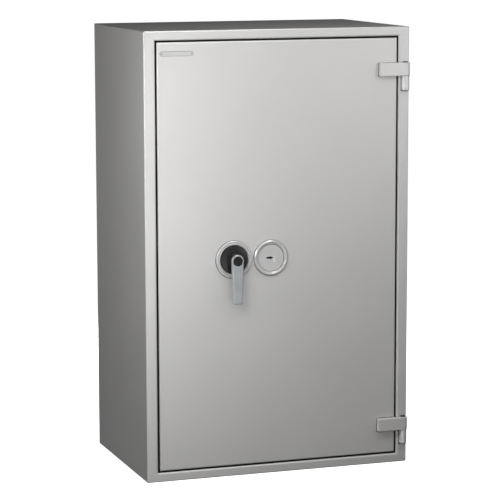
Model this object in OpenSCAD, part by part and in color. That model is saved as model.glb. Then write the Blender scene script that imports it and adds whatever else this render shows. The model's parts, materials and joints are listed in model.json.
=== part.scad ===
// Single-door steel safe with insulated walls, outside hinges, a drop lever and a double-bit key lock.
// The origin is the centre of the base on the floor, +X is the hinge side, +Y the back, +Z up.
// Depths called d are measured backwards from the front face.

/* [Body] */
// Width of the body
body_w = 622; // [600:2:760]
// Depth of the body, without lever and hinges
body_d = 405; // [360:5:600]
// Height of the body
body_h = 1000; // [960:10:1300]
// Thickness of the insulated walls
wall_t = 50; // [48:1:56]
// Thickness of the outer sheet
sheet_t = 3; // [2:0.5:3]
// Visible width of the front frame at the sides
frame_side = 26; // [24:0.5:28]
// Visible width of the front frame at top and bottom
frame_end = 21; // [20:0.5:24]

/* [Door] */
// Gap round the door
door_gap = 4; // [3.5:0.25:5]
// Depth of the flush front leaf
leaf_d = 20; // [20:0.5:21]
// Thickness of the front plate
plate_t = 5; // [4:0.5:6]
// Depth of the whole door, to the back of its cover
door_d = 85; // [84:1:86]
// Largest opening angle, used by the hinge joint
door_open = 180; // [90:5:180]

/* [Boltwork] */
// Radius of the moving side bolts
bolt_r = 11; // [9:0.5:11]
// Travel of every moving bolt over a quarter turn of the lever
bolt_throw = 20; // [16:1:20]

/* [Lever and lock] */
// Length of the lever from its axis to its tip
lever_l = 96.5; // [80:0.5:110]
// Radius of the lever's round head
lever_head_r = 14; // [13:0.5:16]
// Outer radius of the ring round the lever
rosette_r = 42.25; // [42:0.25:43]
// Outer radius of the ring round the keyhole
key_ring_r = 40; // [38:0.5:41.5]

/* [Hidden] */
$fn = 64;

paint = [0.66, 0.66, 0.65];
zinc = [0.72, 0.73, 0.74];
black = [0.06, 0.06, 0.06];
filler = [0.85, 0.82, 0.76];
brass = [0.80, 0.66, 0.36];

half_w = body_w / 2;
front_y = -body_d / 2;
far = 1;                       // how far a cutting solid runs past the surface it cuts

// Front frame, its recess for the leaf, and the throat behind it
open_x = half_w - frame_side;
open_z0 = frame_end;
open_z1 = body_h - frame_end;
recess_d = leaf_d + 2;
throat_x = half_w - wall_t;
throat_z0 = wall_t;
throat_z1 = body_h - wall_t;
throat_d = 115;                // depth at which the inner liner starts
liner_t = 1.5;
liner_back_d = body_d - wall_t;
board_gap = 0.5;               // joint between neighbouring insulation boards

// Front leaf and the bolt case behind it
leaf_x = open_x - door_gap;
leaf_z0 = open_z0 + door_gap;
leaf_z1 = open_z1 - door_gap;
fold_t = 3;                    // folded edge of the leaf
lip_t = 2;                     // inward lip at the back of the leaf
seal_d0 = 3.5;                 // where the strip in the leaf's edge starts
seal_d1 = leaf_d - 2;
seal_set = 1.5;                // depth of the groove that the strip sits in
case_x = throat_x - 10;        // the free edge swings through an arc, so it needs this room
case_z0 = throat_z0 + 6;
case_z1 = throat_z1 - 6;
lip_w = 15;                    // overlap of the base plate on the lip
base_t = 4;
base_d = leaf_d + base_t;
case_t = 3;
cover_t = 2;
case_back_d = door_d - 19;
screw_x = case_x - 14;
screw_zs = [case_z0 + 34, body_h * 0.36, body_h * 0.64, case_z1 - 34];

// Hinges: one vertical axis just ahead of the front face, near the right-hand edge
hinge_x = half_w - 10;
hinge_d = -2;
knuckle_r = 10;
barrel_r = 9;
pin_r = 5;
run_gap = 0.05;                // radial clearance of a running fit
arm_h = 30;
arm_t = 12;                    // how far the arm stands in front of the leaf
arm_x0 = hinge_x - 64;
barrel_h = 32.5;
washer_t = 1;
arm_from_base = 91.5;          // from the base to the middle of the lower arm
arm_from_top = 95.5;           // from the top to the middle of the upper arm
arm_zs = [arm_from_base - arm_h / 2, body_h - arm_from_top - arm_h / 2];

// Lever and lock positions
handle_x = -half_w + 204.4;
control_z = body_h * 0.4919;
lock_x = handle_x + 86.6;
spindle_r = 7;
bush_r = 12;
rotor_r = 32;
neck_r = 12.5;
lever_t = 8;
lever_back = 21;               // distance from the front face to the lever's back
cap_r = 10.7;

// Boltwork layers, all depths from the front face
cam_d = 29;
cam_t = 6;
cam_r = 56;
link_d = 38;
link_t = 5;
bolt_d = 49;
pin_start_r = 18;              // distance of a drive pin from the spindle's axis at rest
drive_pin_r = 3.5;
slot_half = drive_pin_r + 0.4;
bar_x = -(case_x - 38);
bolt_zs = [body_h * 0.19, control_z, body_h * 0.792];
end_bolt_r = 9;
bolt_run = 0.1;                // radial clearance of a bolt in its guide
guide_wall = 3;
cup_wall = 1.5;
cup_depth = 15;
dog_r = 8;
dog_d = 55;
dog_reach = 17;                // how far a fixed dog stands out of the case
rod_half = 10;
rod_end = 34;                  // from the retracted bolt's tip down to the rod's end
rod_lap = 20;                  // length over which rod and bolt lie on each other

// Key lock
lock_x0 = lock_x - 26.6;
lock_x1 = lock_x + 33.4;
lock_half_h = 45;
lock_d1 = 48;
lock_t = 2.5;
core_r = 8.9;
core_gap = 0.05;
lock_throw = 11;
lever_pivot = [lock_x + 24, control_z + 23];
lever_plates = 5;
lever_pitch = 1.7;
key_hole_r = 3.6;
key_slot_w = 20;
key_slot_h = 3.6;
key_disc_r = 30;

// Inside: rails, shelves, anchor holes
rail_t = 6;
rail_w = 20;
rail_ds = [140, 310];
rail_slot_pitch = 50;
shelf_zs = [345, 645];
shelf_x = throat_x - rail_t - 2;
shelf_d0 = 100;
shelf_lip = 25;
clip_h = 12;
anchor_x = 150;
anchor_d = 230;
anchor_r = 7;
sleeve_wall = 2;

// ---- helpers: a box and round bars given by ranges of x, depth and z ----
module slab(x0, x1, d0, d1, z0, z1) {
    translate([x0, front_y + d0, z0]) cube([x1 - x0, d1 - d0, z1 - z0]);
}
module bar_in_depth(x, z, d0, d1, r) {
    translate([x, front_y + d1, z]) rotate([90, 0, 0]) cylinder(h = d1 - d0, r = r);
}
module bar_in_x(x0, x1, d, z, r) {
    translate([x0, front_y + d, z]) rotate([0, 90, 0]) cylinder(h = x1 - x0, r = r);
}
module bar_in_z(x, d, z0, z1, r) {
    translate([x, front_y + d, z0]) cylinder(h = z1 - z0, r = r);
}
// Children drawn flat, with their own +Z towards the viewer, standing on depth d
module facing(x, z, d = 0) {
    translate([x, front_y + d, z]) rotate([90, 0, 0]) children();
}

// ---- mitres: the four sides of a ring, cut along lines out of each corner ----
module side_prism(side, in_x, in_z) {
    reach = 5;                 // how many ring widths into the body a mitre cut runs
    x1 = half_w + in_x;
    z0 = -in_z;
    z1 = body_h + in_z;
    tip_x = half_w - reach * in_x;
    tip_z = reach * in_z;
    left = [[-x1, z0], [-tip_x, tip_z], [-tip_x, body_h - tip_z], [-x1, z1]];
    top = [[-x1, z1], [-tip_x, body_h - tip_z], [tip_x, body_h - tip_z], [x1, z1]];
    facing(0, 0, body_d + far)
        linear_extrude(body_d + 2 * far)
            if (side == "left") polygon(left);
            else if (side == "right") mirror([1, 0]) polygon(left);
            else if (side == "top") polygon(top);
            else translate([0, body_h]) mirror([0, 1]) polygon(top);
}

// ---- body ----
module casing_ring() {
    difference() {
        slab(-half_w, half_w, 0, body_d, 0, body_h);
        difference() {
            slab(-half_w + sheet_t, half_w - sheet_t, sheet_t, body_d + far,
                 sheet_t, body_h - sheet_t);
            slab(-open_x - sheet_t, open_x + sheet_t, 0, recess_d,
                 open_z0 - sheet_t, open_z1 + sheet_t);
        }
        slab(-open_x, open_x, -far, recess_d + far, open_z0, open_z1);
    }
}

module casing_side(side) {
    color(paint) intersection() {
        casing_ring();
        side_prism(side, frame_side, frame_end);
    }
}

// Pocket in the frame that the hinge knuckle turns in
pocket_x0 = hinge_x - knuckle_r - 1;
pocket_d = 13;
module hinge_pocket(arm_z, grow, reach) {
    slab(pocket_x0 - grow, half_w + reach, -reach, pocket_d + grow,
         arm_z - washer_t - 0.5 - grow, arm_z + arm_h + 2.5 + grow);
}

module casing_right() {
    pocket_t = 2;
    color(paint) difference() {
        union() {
            casing_side("right");
            for (z = arm_zs) hinge_pocket(z, pocket_t, 0);
        }
        for (z = arm_zs) {
            hinge_pocket(z, 0, far);
            bar_in_z(hinge_x, hinge_d, z - washer_t - barrel_h, z, barrel_r);
        }
    }
}

module casing_bottom() {
    color(paint) difference() {
        casing_side("bottom");
        for (x = [-anchor_x, anchor_x]) bar_in_z(x, anchor_d, -far, sheet_t + far, anchor_r);
    }
}

module back_panel() {
    color(paint)
        slab(-half_w + sheet_t, half_w - sheet_t, body_d - sheet_t, body_d,
             sheet_t, body_h - sheet_t);
}

module frame_ring() {
    difference() {
        slab(-open_x - sheet_t, open_x + sheet_t, recess_d, throat_d,
             open_z0 - sheet_t, open_z1 + sheet_t);
        slab(-throat_x, throat_x, recess_d - far, throat_d + far, throat_z0, throat_z1);
        difference() {
            slab(-half_w, half_w, recess_d + sheet_t, throat_d + far, 0, body_h);
            slab(-throat_x - sheet_t, throat_x + sheet_t, 0, body_d,
                 throat_z0 - sheet_t, throat_z1 + sheet_t);
        }
    }
}

// Room that a dog needs while the door turns: a slot that runs forward from the dog
module dog_slot(x0, x1, z, r) {
    travel = 8;
    bar_in_x(x0, x1, dog_d, z, r);
    bar_in_x(x0, x1, dog_d - travel, z, r);
    slab(x0, x1, dog_d - travel, dog_d, z - r, z + r);
}
dog_hole_r = dog_r + 1.5;
bolt_hole_r = bolt_r + 1.5;
end_hole_r = end_bolt_r + 1.5;

module frame_side_member(side) {
    color(paint) difference() {
        intersection() {
            frame_ring();
            side_prism(side, wall_t, wall_t);
        }
        for (z = bolt_zs) {
            if (side == "left") bar_in_x(-throat_x - 2 * sheet_t, -throat_x + far, bolt_d, z, bolt_hole_r);
            if (side == "right") dog_slot(throat_x - far, throat_x + 2 * sheet_t, z, dog_hole_r);
        }
        if (side == "top")
            bar_in_z(handle_x, bolt_d, throat_z1 - far, throat_z1 + 2 * sheet_t, end_hole_r);
        if (side == "bottom")
            bar_in_z(handle_x, bolt_d, throat_z0 - 2 * sheet_t, throat_z0 + far, end_hole_r);
    }
}

// Outer shapes of the cups behind the bolt holes; the insulation is cut to them
module cup_shapes(wall, extra) {
    cup_x = throat_x + sheet_t;
    top_z = throat_z1 + sheet_t;
    low_z = throat_z0 - sheet_t;
    deep = cup_depth + extra;
    for (z = bolt_zs) {
        bar_in_x(-cup_x - deep, -cup_x, bolt_d, z, bolt_hole_r + wall);
        dog_slot(cup_x, cup_x + deep, z, dog_hole_r + wall);
    }
    bar_in_z(handle_x, bolt_d, top_z, top_z + deep, end_hole_r + wall);
    bar_in_z(handle_x, bolt_d, low_z - deep, low_z, end_hole_r + wall);
}

module bolt_cups() {
    color(zinc) difference() {
        cup_shapes(cup_wall, cup_wall);
        cup_shapes(0, 0);
    }
}

module wall_insulation() {
    side_x = throat_x + sheet_t;
    liner_x = throat_x + liner_t;
    outer_x = half_w - sheet_t;
    z0 = throat_z0 - sheet_t + board_gap;
    z1 = throat_z1 + sheet_t - board_gap;
    back = body_d - sheet_t;
    front = recess_d + sheet_t;
    color(filler) difference() {
        union() {
            for (s = [-1, 1]) {
                slab(min(s * side_x, s * outer_x), max(s * side_x, s * outer_x), front, back, z0, z1);
            }
            for (z = [sheet_t, throat_z1 + sheet_t])
                slab(-outer_x, outer_x, front, back, z, z + wall_t - 2 * sheet_t);
            slab(-side_x + board_gap, side_x - board_gap, liner_back_d, back, z0, z1);
        }
        cup_shapes(cup_wall, cup_wall);
        for (x = [-anchor_x, anchor_x])
            bar_in_z(x, anchor_d, 0, throat_z0, anchor_r + sleeve_wall);
    }
}

module inner_liner() {
    color(paint) difference() {
        slab(-throat_x - liner_t, throat_x + liner_t, throat_d, liner_back_d,
             throat_z0 - liner_t, throat_z1 + liner_t);
        slab(-throat_x, throat_x, throat_d - far, liner_back_d - liner_t, throat_z0, throat_z1);
        for (x = [-anchor_x, anchor_x])
            bar_in_z(x, anchor_d, throat_z0 - 2 * liner_t, throat_z0 + far, anchor_r);
    }
}

// Black strip, L-shaped in section: one leg lines the opening, the other lies on the step behind the leaf
module frame_seal() {
    seal_t = 1.7;
    edge_t = 0.8;
    inner = 4;
    color(black) difference() {
        slab(-open_x, open_x, sheet_t + 0.2, recess_d, open_z0, open_z1);
        slab(-open_x + edge_t, open_x - edge_t, 0, recess_d - seal_t,
             open_z0 + edge_t, open_z1 - edge_t);
        slab(-throat_x - inner, throat_x + inner, 0, recess_d + far,
             throat_z0 - inner, throat_z1 + inner);
    }
}

module anchor_sleeves() {
    color(zinc) for (x = [-anchor_x, anchor_x]) difference() {
        bar_in_z(x, anchor_d, sheet_t, throat_z0 - liner_t, anchor_r + sleeve_wall);
        bar_in_z(x, anchor_d, 0, throat_z0, anchor_r);
    }
}

// ---- hinges ----
module hinge_barrels() {
    chamfer = 2.5;
    color(paint) for (z = arm_zs) difference() {
        translate([hinge_x, front_y + hinge_d, z - washer_t - barrel_h])
            rotate_extrude()
                polygon([[0, 0], [barrel_r - chamfer, 0], [barrel_r, chamfer],
                         [barrel_r, barrel_h], [0, barrel_h]]);
        bar_in_z(hinge_x, hinge_d, z - washer_t - barrel_h + 4, z, pin_r + run_gap);
    }
}

module hinge_pins() {
    pin_top = 6;               // material left over the pin inside the arm
    color(zinc) for (z = arm_zs)
        bar_in_z(hinge_x, hinge_d, z - washer_t - barrel_h + 4, z + arm_h - pin_top, pin_r);
}

module hinge_washers() {
    color(brass) for (z = arm_zs) difference() {
        bar_in_z(hinge_x, hinge_d, z - washer_t, z - run_gap, barrel_r);
        bar_in_z(hinge_x, hinge_d, z - 2 * washer_t, z + far, pin_r + run_gap);
    }
}

module hinge_arm(z) {
    pin_room = arm_h - 5;
    relief = 1;                // keeps the arm off the frame's face
    color(paint) difference() {
        union() {
            slab(arm_x0, hinge_x, -arm_t, 0, z, z + arm_h);
            bar_in_z(hinge_x, hinge_d, z, z + arm_h, knuckle_r);
        }
        slab(leaf_x, hinge_x - knuckle_r, -relief, far, z - far, z + arm_h + far);
        bar_in_z(hinge_x, hinge_d, z - far, z + pin_room, pin_r + run_gap);
    }
}

// ---- inside of the body ----
module shelf_rails() {
    slot_h = 14;
    slot_w = 6;
    skin = 2;
    z0 = throat_z0 + 12;
    z1 = throat_z1 - 12;
    color(zinc) for (s = [-1, 1], d = rail_ds) difference() {
        slab(min(s * throat_x, s * (throat_x - rail_t)), max(s * throat_x, s * (throat_x - rail_t)),
             d - rail_w / 2, d + rail_w / 2, z0, z1);
        slab(s > 0 ? throat_x - rail_t + skin : -throat_x - far,
             s > 0 ? throat_x + far : -throat_x + rail_t - skin,
             d - rail_w / 2 + skin, d + rail_w / 2 - skin, z0 - far, z1 + far);
        for (z = [shelf_zs[0] - 5 * rail_slot_pitch : rail_slot_pitch : z1 - slot_h])
            slab(s * throat_x - 2 * rail_t, s * throat_x + 2 * rail_t,
                 d - slot_w / 2, d + slot_w / 2, z - slot_h, z);
    }
}

module shelf_clips() {
    hook_w = 5;
    hook_h = 13;
    seat_l = 12;
    rail_face = throat_x - rail_t;
    color(zinc) for (s = [-1, 1], d = rail_ds, z = shelf_zs) {
        hook_x = s * (rail_face - 1);
        seat_x = s * (rail_face - seat_l);
        slab(min(hook_x, seat_x), max(hook_x, seat_x), d - rail_w / 2, d + rail_w / 2, z - 3, z);
        slab(s > 0 ? rail_face - 3 : -rail_face + 0.2, s > 0 ? rail_face - 0.2 : -rail_face + 3,
             d - rail_w / 2, d + rail_w / 2, z - clip_h, z);
        slab(s > 0 ? rail_face - 1 : -rail_face - 4, s > 0 ? rail_face + 4 : -rail_face + 1,
             d - hook_w / 2, d + hook_w / 2, z - hook_h + 0.5, z - 2);
    }
}

module shelves() {
    shelf_t = 2;
    shelf_d1 = liner_back_d - liner_t - 6;
    color(paint) for (z = shelf_zs) {
        slab(-shelf_x, shelf_x, shelf_d0, shelf_d1, z, z + shelf_t);
        slab(-shelf_x, shelf_x, shelf_d0, shelf_d0 + shelf_t, z - shelf_lip, z + shelf_t);
        slab(-shelf_x, shelf_x, shelf_d1 - shelf_t, shelf_d1, z - shelf_lip, z + shelf_t);
    }
}

// ---- door ----
// A strip that runs round the leaf's edge, standing out of it by proud
module edge_strip(proud) {
    difference() {
        slab(-leaf_x - proud, leaf_x + proud, seal_d0, seal_d1, leaf_z0 - proud, leaf_z1 + proud);
        slab(-leaf_x + seal_set, leaf_x - seal_set, 0, leaf_d, leaf_z0 + seal_set, leaf_z1 - seal_set);
    }
}

module door_seal() {
    color(black) edge_strip(0.3);
}

module door_panel() {
    color(paint) difference() {
        slab(-leaf_x, leaf_x, 0, leaf_d, leaf_z0, leaf_z1);
        slab(-leaf_x + fold_t, leaf_x - fold_t, plate_t, leaf_d - lip_t,
             leaf_z0 + fold_t, leaf_z1 - fold_t);
        slab(-case_x + lip_w, case_x - lip_w, plate_t, leaf_d + far, case_z0 + lip_w, case_z1 - lip_w);
        edge_strip(far);
        for (x = [handle_x, lock_x]) bar_in_depth(x, control_z, -far, leaf_d, bush_r + 0.1);
    }
}

module door_insulation() {
    slack = 0.5;
    color(filler) difference() {
        slab(-leaf_x + fold_t + slack, leaf_x - fold_t - slack, plate_t, leaf_d - lip_t,
             leaf_z0 + fold_t + slack, leaf_z1 - fold_t - slack);
        for (x = [handle_x, lock_x]) bar_in_depth(x, control_z, 0, leaf_d, bush_r + 0.1);
    }
}

module door_base_plate() {
    color(zinc) difference() {
        slab(-case_x, case_x, leaf_d, base_d, case_z0, case_z1);
        for (x = [handle_x, lock_x])
            bar_in_depth(x, control_z, leaf_d - far, base_d + far, bush_r + 0.1);
    }
}

module drill_plate() {
    color(zinc) difference() {
        slab(lock_x - 58, lock_x + 60, leaf_d - lip_t, leaf_d, control_z - 60, control_z + 60);
        bar_in_depth(lock_x, control_z, 0, base_d, bush_r + 0.1);
    }
}

module name_plate() {
    plate_l = 76;
    plate_h = 9;
    z = body_h - 50;
    x = -half_w + 75;
    color(zinc) facing(x, z) linear_extrude(1) {
        square([plate_l - plate_h, plate_h], center = true);
        for (s = [-1, 1]) translate([s * (plate_l - plate_h) / 2, 0]) circle(d = plate_h);
    }
}

module bolt_case() {
    tab = 14;                  // side of a screw tab
    tab_t = 7;
    color(zinc) difference() {
        union() {
            difference() {
                slab(-case_x, case_x, base_d, case_back_d, case_z0, case_z1);
                slab(-case_x + case_t, case_x - case_t, base_d - far, case_back_d + far,
                     case_z0 + case_t, case_z1 - case_t);
            }
            for (s = [-1, 1], z = screw_zs)
                slab(min(s * (case_x - case_t), s * (screw_x - tab / 2)),
                     max(s * (case_x - case_t), s * (screw_x - tab / 2)),
                     case_back_d - tab_t, case_back_d, z - tab / 2, z + tab / 2);
        }
        for (s = [-1, 1], z = screw_zs)
            bar_in_depth(s * screw_x, z, case_back_d - tab_t - far, case_back_d + far, 2.5);
        for (z = bolt_zs) {
            bar_in_x(-case_x - far, -case_x + 2 * case_t, bolt_d, z, bolt_r + guide_wall);
            bar_in_x(case_x - 2 * case_t, case_x + far, dog_d, z, dog_r);
        }
        bar_in_z(handle_x, bolt_d, case_z0 - far, case_z1 + far, end_bolt_r + guide_wall);
    }
}

module bolt_guides() {
    flange_t = 1.5;
    flange_w = 3;
    inside = 12;               // length inside the case at the side bolts
    inside_end = 9;            // the same at the top and bottom bolts, clear of their rods
    color(brass) {
        for (z = bolt_zs) difference() {
            union() {
                bar_in_x(-case_x, -case_x + case_t + inside, bolt_d, z, bolt_r + guide_wall);
                bar_in_x(-case_x - flange_t, -case_x, bolt_d, z, bolt_r + guide_wall + flange_w);
            }
            bar_in_x(-case_x - 2 * far - flange_t, -case_x + 2 * inside, bolt_d, z, bolt_r + bolt_run);
        }
        for (s = [0, 1]) {
            edge = s > 0 ? case_z1 : case_z0;
            inner = s > 0 ? edge - case_t - inside_end : edge + case_t + inside_end;
            outer = s > 0 ? edge + flange_t : edge - flange_t;
            difference() {
                union() {
                    bar_in_z(handle_x, bolt_d, min(edge, inner), max(edge, inner),
                             end_bolt_r + guide_wall);
                    bar_in_z(handle_x, bolt_d, min(edge, outer), max(edge, outer),
                             end_bolt_r + guide_wall + flange_w);
                }
                bar_in_z(handle_x, bolt_d, min(inner, outer) - far, max(inner, outer) + far,
                         end_bolt_r + bolt_run);
            }
        }
    }
}

module rod_guides() {
    slack = 0.3;
    wall = 8;
    strap = 3;
    half_h = 12;
    color(zinc) for (z = [body_h * 0.28, body_h * 0.70]) difference() {
        slab(handle_x - rod_half - wall, handle_x + rod_half + wall, base_d,
             link_d + link_t + slack + strap, z - half_h, z + half_h);
        slab(handle_x - rod_half - slack, handle_x + rod_half + slack, base_d - far,
             link_d + link_t + slack, z - half_h - far, z + half_h + far);
    }
}

module dog_bolts() {
    collar_t = 7;
    color(zinc) for (z = bolt_zs) {
        bar_in_x(case_x - case_t - collar_t, case_x + dog_reach, dog_d, z, dog_r);
        bar_in_x(case_x - case_t - collar_t, case_x - case_t, dog_d, z, dog_r + 3);
    }
}

module door_cover() {
    color(paint) difference() {
        slab(-case_x, case_x, case_back_d, door_d, case_z0, case_z1);
        slab(-case_x + cover_t, case_x - cover_t, case_back_d - far, door_d - cover_t,
             case_z0 + cover_t, case_z1 - cover_t);
        for (s = [-1, 1], z = screw_zs)
            bar_in_depth(s * screw_x, z, case_back_d, door_d + far, 2.6);
    }
}

module door_cover_board() {
    slack = 0.5;
    color(filler) difference() {
        slab(-case_x + cover_t + slack, case_x - cover_t - slack, case_back_d + slack,
             door_d - cover_t, case_z0 + cover_t + slack, case_z1 - cover_t - slack);
        for (s = [-1, 1], z = screw_zs)
            bar_in_depth(s * screw_x, z, case_back_d - far, door_d + far, 3);
    }
}

module cover_screws() {
    head_r = 5;
    head_t = 2;
    color(zinc) for (s = [-1, 1], z = screw_zs) {
        bar_in_depth(s * screw_x, z, case_back_d - 12, door_d, 2.45);
        difference() {
            bar_in_depth(s * screw_x, z, door_d, door_d + head_t, head_r);
            facing(s * screw_x, z, door_d + head_t + far)
                cylinder(h = far + 1.2, r = 2, $fn = 6);
        }
    }
}

// ---- controls on the door's face ----
module spindle_bush() {
    color(brass) difference() {
        bar_in_depth(handle_x, control_z, 0.2, base_d + 0.5, bush_r);
        bar_in_depth(handle_x, control_z, -far, base_d + 2 * far, spindle_r + run_gap);
    }
}

// A round rosette with a rounded crest, standing crest_h proud of the door
module rosette(r_in, r_out, crest_h) {
    rim_r = 2;
    lip = 1.6;
    rotate_extrude() {
        translate([r_in, 0]) square([r_out - r_in, crest_h - rim_r]);
        translate([r_in, 0]) square([r_out - r_in - rim_r, crest_h - lip]);
        translate([r_out - rim_r, crest_h - rim_r]) circle(r = rim_r);
        translate([r_out - rim_r - 2, crest_h - rim_r]) square([2, rim_r]);
    }
}

module handle_rosette() {
    color(zinc) facing(handle_x, control_z) rosette(rotor_r + 0.8, rosette_r, 5);
}

module key_rosette() {
    color(zinc) facing(lock_x, control_z) rosette(key_disc_r + 0.2, key_ring_r, 5.5);
}

module key_hole_shape() {
    circle(r = key_hole_r);
    square([key_slot_w, key_slot_h], center = true);
}

module key_plate() {
    color(zinc) facing(lock_x, control_z) linear_extrude(2.5) difference() {
        circle(r = key_disc_r);
        key_hole_shape();
    }
}

module key_guide() {
    color(zinc) difference() {
        bar_in_depth(lock_x, control_z, 0, base_d, bush_r);
        bar_in_depth(lock_x, control_z, -far, base_d + far, core_r + core_gap);
    }
}

// ---- key lock ----
module lock_case() {
    z0 = control_z - lock_half_h;
    z1 = control_z + lock_half_h;
    post_r = 4;
    bolt_slot = 9.5;
    posts = [for (x = [lock_x0 + 6, lock_x1 - 6], z = [z0 + 6, z1 - 6]) [x, z]];
    color(zinc) difference() {
        union() {
            difference() {
                slab(lock_x0, lock_x1, base_d, lock_d1, z0, z1);
                slab(lock_x0 + lock_t, lock_x1 - lock_t, base_d + lock_t, lock_d1 + far,
                     z0 + lock_t, z1 - lock_t);
            }
            for (p = posts) bar_in_depth(p[0], p[1], base_d, lock_d1, post_r);
            bar_in_depth(lever_pivot[0], lever_pivot[1], base_d, lock_d1, 2.5);
        }
        for (p = posts) bar_in_depth(p[0], p[1], base_d + lock_t, lock_d1 + far, 2);
        bar_in_depth(lock_x, control_z, base_d - far, base_d + 2 * lock_t, core_r + core_gap);
        slab(lock_x0 - far, lock_x0 + 2 * lock_t, 27.5, 40.5, control_z - bolt_slot,
             control_z + bolt_slot);
    }
}

module lock_cover() {
    z0 = control_z - lock_half_h;
    z1 = control_z + lock_half_h;
    color(zinc) difference() {
        slab(lock_x0, lock_x1, lock_d1, lock_d1 + 2, z0, z1);
        for (x = [lock_x0 + 6, lock_x1 - 6], z = [z0 + 6, z1 - 6])
            bar_in_depth(x, z, lock_d1 - far, lock_d1 + 2 + far, 2.1);
    }
}

module lock_screws() {
    z0 = control_z - lock_half_h;
    z1 = control_z + lock_half_h;
    color(zinc) for (x = [lock_x0 + 6, lock_x1 - 6], z = [z0 + 6, z1 - 6]) {
        bar_in_depth(x, z, lock_d1 - 10, lock_d1 + 2, 1.95);
        bar_in_depth(x, z, lock_d1 + 2, lock_d1 + 4.5, 4);
    }
}

module lock_core() {
    color(zinc) difference() {
        bar_in_depth(lock_x, control_z, 2, lock_d1 - 1, core_r);
        facing(lock_x, control_z, lock_d1 - 10) linear_extrude(lock_d1) key_hole_shape();
    }
}

module lock_bolt() {
    head_half = 9;
    tail_half = 26;
    head_x0 = lock_x0 - 0.5;
    head_x1 = lock_x0 + 14;
    color(zinc) difference() {
        union() {
            slab(head_x0, head_x1, 28, 40, control_z - head_half, control_z + head_half);
            slab(head_x1, lock_x + 26, 30, 34, control_z - tail_half, control_z + 12);
        }
        slab(lock_x - core_r - 1.2, lock_x + core_r + lock_throw + 1.5, 29, 41,
             control_z - core_r - 2, control_z + far + 12);
    }
}

module lock_levers() {
    plate = 1.2;
    window = 32;               // the open middle that the lock core passes through
    p = lever_pivot;
    color(brass) for (i = [0 : lever_plates - 1]) {
        d = 37.7 + i * lever_pitch;
        difference() {
            slab(p[0] - 33, p[0] + 5, d, d + plate, p[1] - 48, p[1] + 5);
            slab(p[0] - 40, p[0] - 8, d - far, d + 2 * far, p[1] - 10 - window, p[1] - 4);
            bar_in_depth(p[0], p[1], d - far, d + 2 * far, 2.5 + run_gap);
        }
    }
}

// ---- lever, spindle and cam ----
module rotor_disc() {
    dome_h = 4.5;
    rim_h = 2;
    color(black) difference() {
        facing(handle_x, control_z, -0.5) union() {
            rotate_extrude()
                polygon([[0, 0], [rotor_r, 0], [rotor_r, rim_h], [rotor_r - 6, dome_h - 0.7],
                         [neck_r, dome_h], [0, dome_h]]);
            cylinder(h = lever_back - 0.5, r = neck_r);
        }
        bar_in_depth(handle_x, control_z, -lever_back / 2, far, spindle_r);
    }
}

module handle_lever() {
    tip_half = 10.3;
    color(zinc) facing(handle_x, control_z, -lever_back) difference() {
        linear_extrude(lever_t) {
            circle(r = lever_head_r);
            polygon([[-lever_head_r, 0], [-tip_half, -lever_l], [tip_half, -lever_l],
                     [lever_head_r, 0]]);
        }
        translate([0, 0, lever_t - 2]) cylinder(h = 2 + far, r = cap_r);
    }
}

module hub_cap() {
    color(black) facing(handle_x, control_z, -lever_back - lever_t + 2)
        cylinder(h = 2.3, r = cap_r);
}

module handle_spindle() {
    color(zinc) bar_in_depth(handle_x, control_z, -lever_back / 2, link_d + 0.5, spindle_r);
}

// One spiral slot: the radius grows evenly with the angle, so the pin's travel is in step with the turn
function spiral_r(turn) = pin_start_r + bolt_throw * turn / 90;
function spiral_point(a0, turn, side) =
    let (a = a0 + turn,
         r = spiral_r(turn),
         growth = bolt_throw / 90 * 180 / PI,
         tx = growth * cos(a) - r * sin(a),
         ty = growth * sin(a) + r * cos(a),
         l = norm([tx, ty]))
    [r * cos(a) - side * slot_half * ty / l, r * sin(a) + side * slot_half * tx / l];

module spiral_slot(a0) {
    step = 6;
    polygon([for (t = [0 : step : 90]) spiral_point(a0, t, 1),
             for (t = [90 : -step : 0]) spiral_point(a0, t, -1)]);
    for (t = [0, 90]) rotate(a0 + t) translate([spiral_r(t), 0]) circle(r = slot_half);
}

module cam_disc() {
    notch_half = 10;
    notch_r = cam_r - 10;
    color(zinc) facing(handle_x, control_z, cam_d + cam_t) difference() {
        union() {
            linear_extrude(cam_t) difference() {
                circle(r = cam_r);
                for (a = [90, 180, 270]) spiral_slot(a);
                for (a = [0, 90])
                    rotate(a) translate([notch_r, -notch_half]) square([cam_r, 2 * notch_half]);
            }
            cylinder(h = cam_t + 3.5, r = 13);
        }
        translate([0, 0, -far]) cylinder(h = cam_t + 6, r = spindle_r);
    }
}

module cam_clip() {
    color(zinc) difference() {
        bar_in_depth(handle_x, control_z, cam_d + cam_t, cam_d + cam_t + 1.5, spindle_r + 3);
        bar_in_depth(handle_x, control_z, cam_d, link_d, spindle_r);
    }
}

// ---- boltwork ----
module drive_pin(x, z) {
    bar_in_depth(x, z, cam_d - 0.5, link_d + link_t, drive_pin_r);
}

module bolt_bar() {
    color(zinc) difference() {
        slab(bar_x, bar_x + 6, 33, 58, bolt_zs[0] - 40, bolt_zs[2] + 40);
        for (z = bolt_zs) bar_in_x(bar_x - far, bar_x + 7, bolt_d, z, 4);
    }
}

module bolt_link() {
    half_h = 15;
    nose_half = 8;
    pin_x = handle_x - pin_start_r;
    color(zinc) {
        slab(bar_x + 6, pin_x - 24, link_d, link_d + link_t, control_z - half_h, control_z + half_h);
        slab(pin_x - 24, pin_x + 5, link_d, link_d + link_t, control_z - nose_half,
             control_z + nose_half);
        drive_pin(pin_x, control_z);
    }
}

module side_bolts() {
    color(zinc) for (z = bolt_zs) difference() {
        bar_in_x(-case_x, bar_x, bolt_d, z, bolt_r);
        bar_in_x(bar_x - 16, bar_x + far, bolt_d, z, 4);
    }
}

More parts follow.
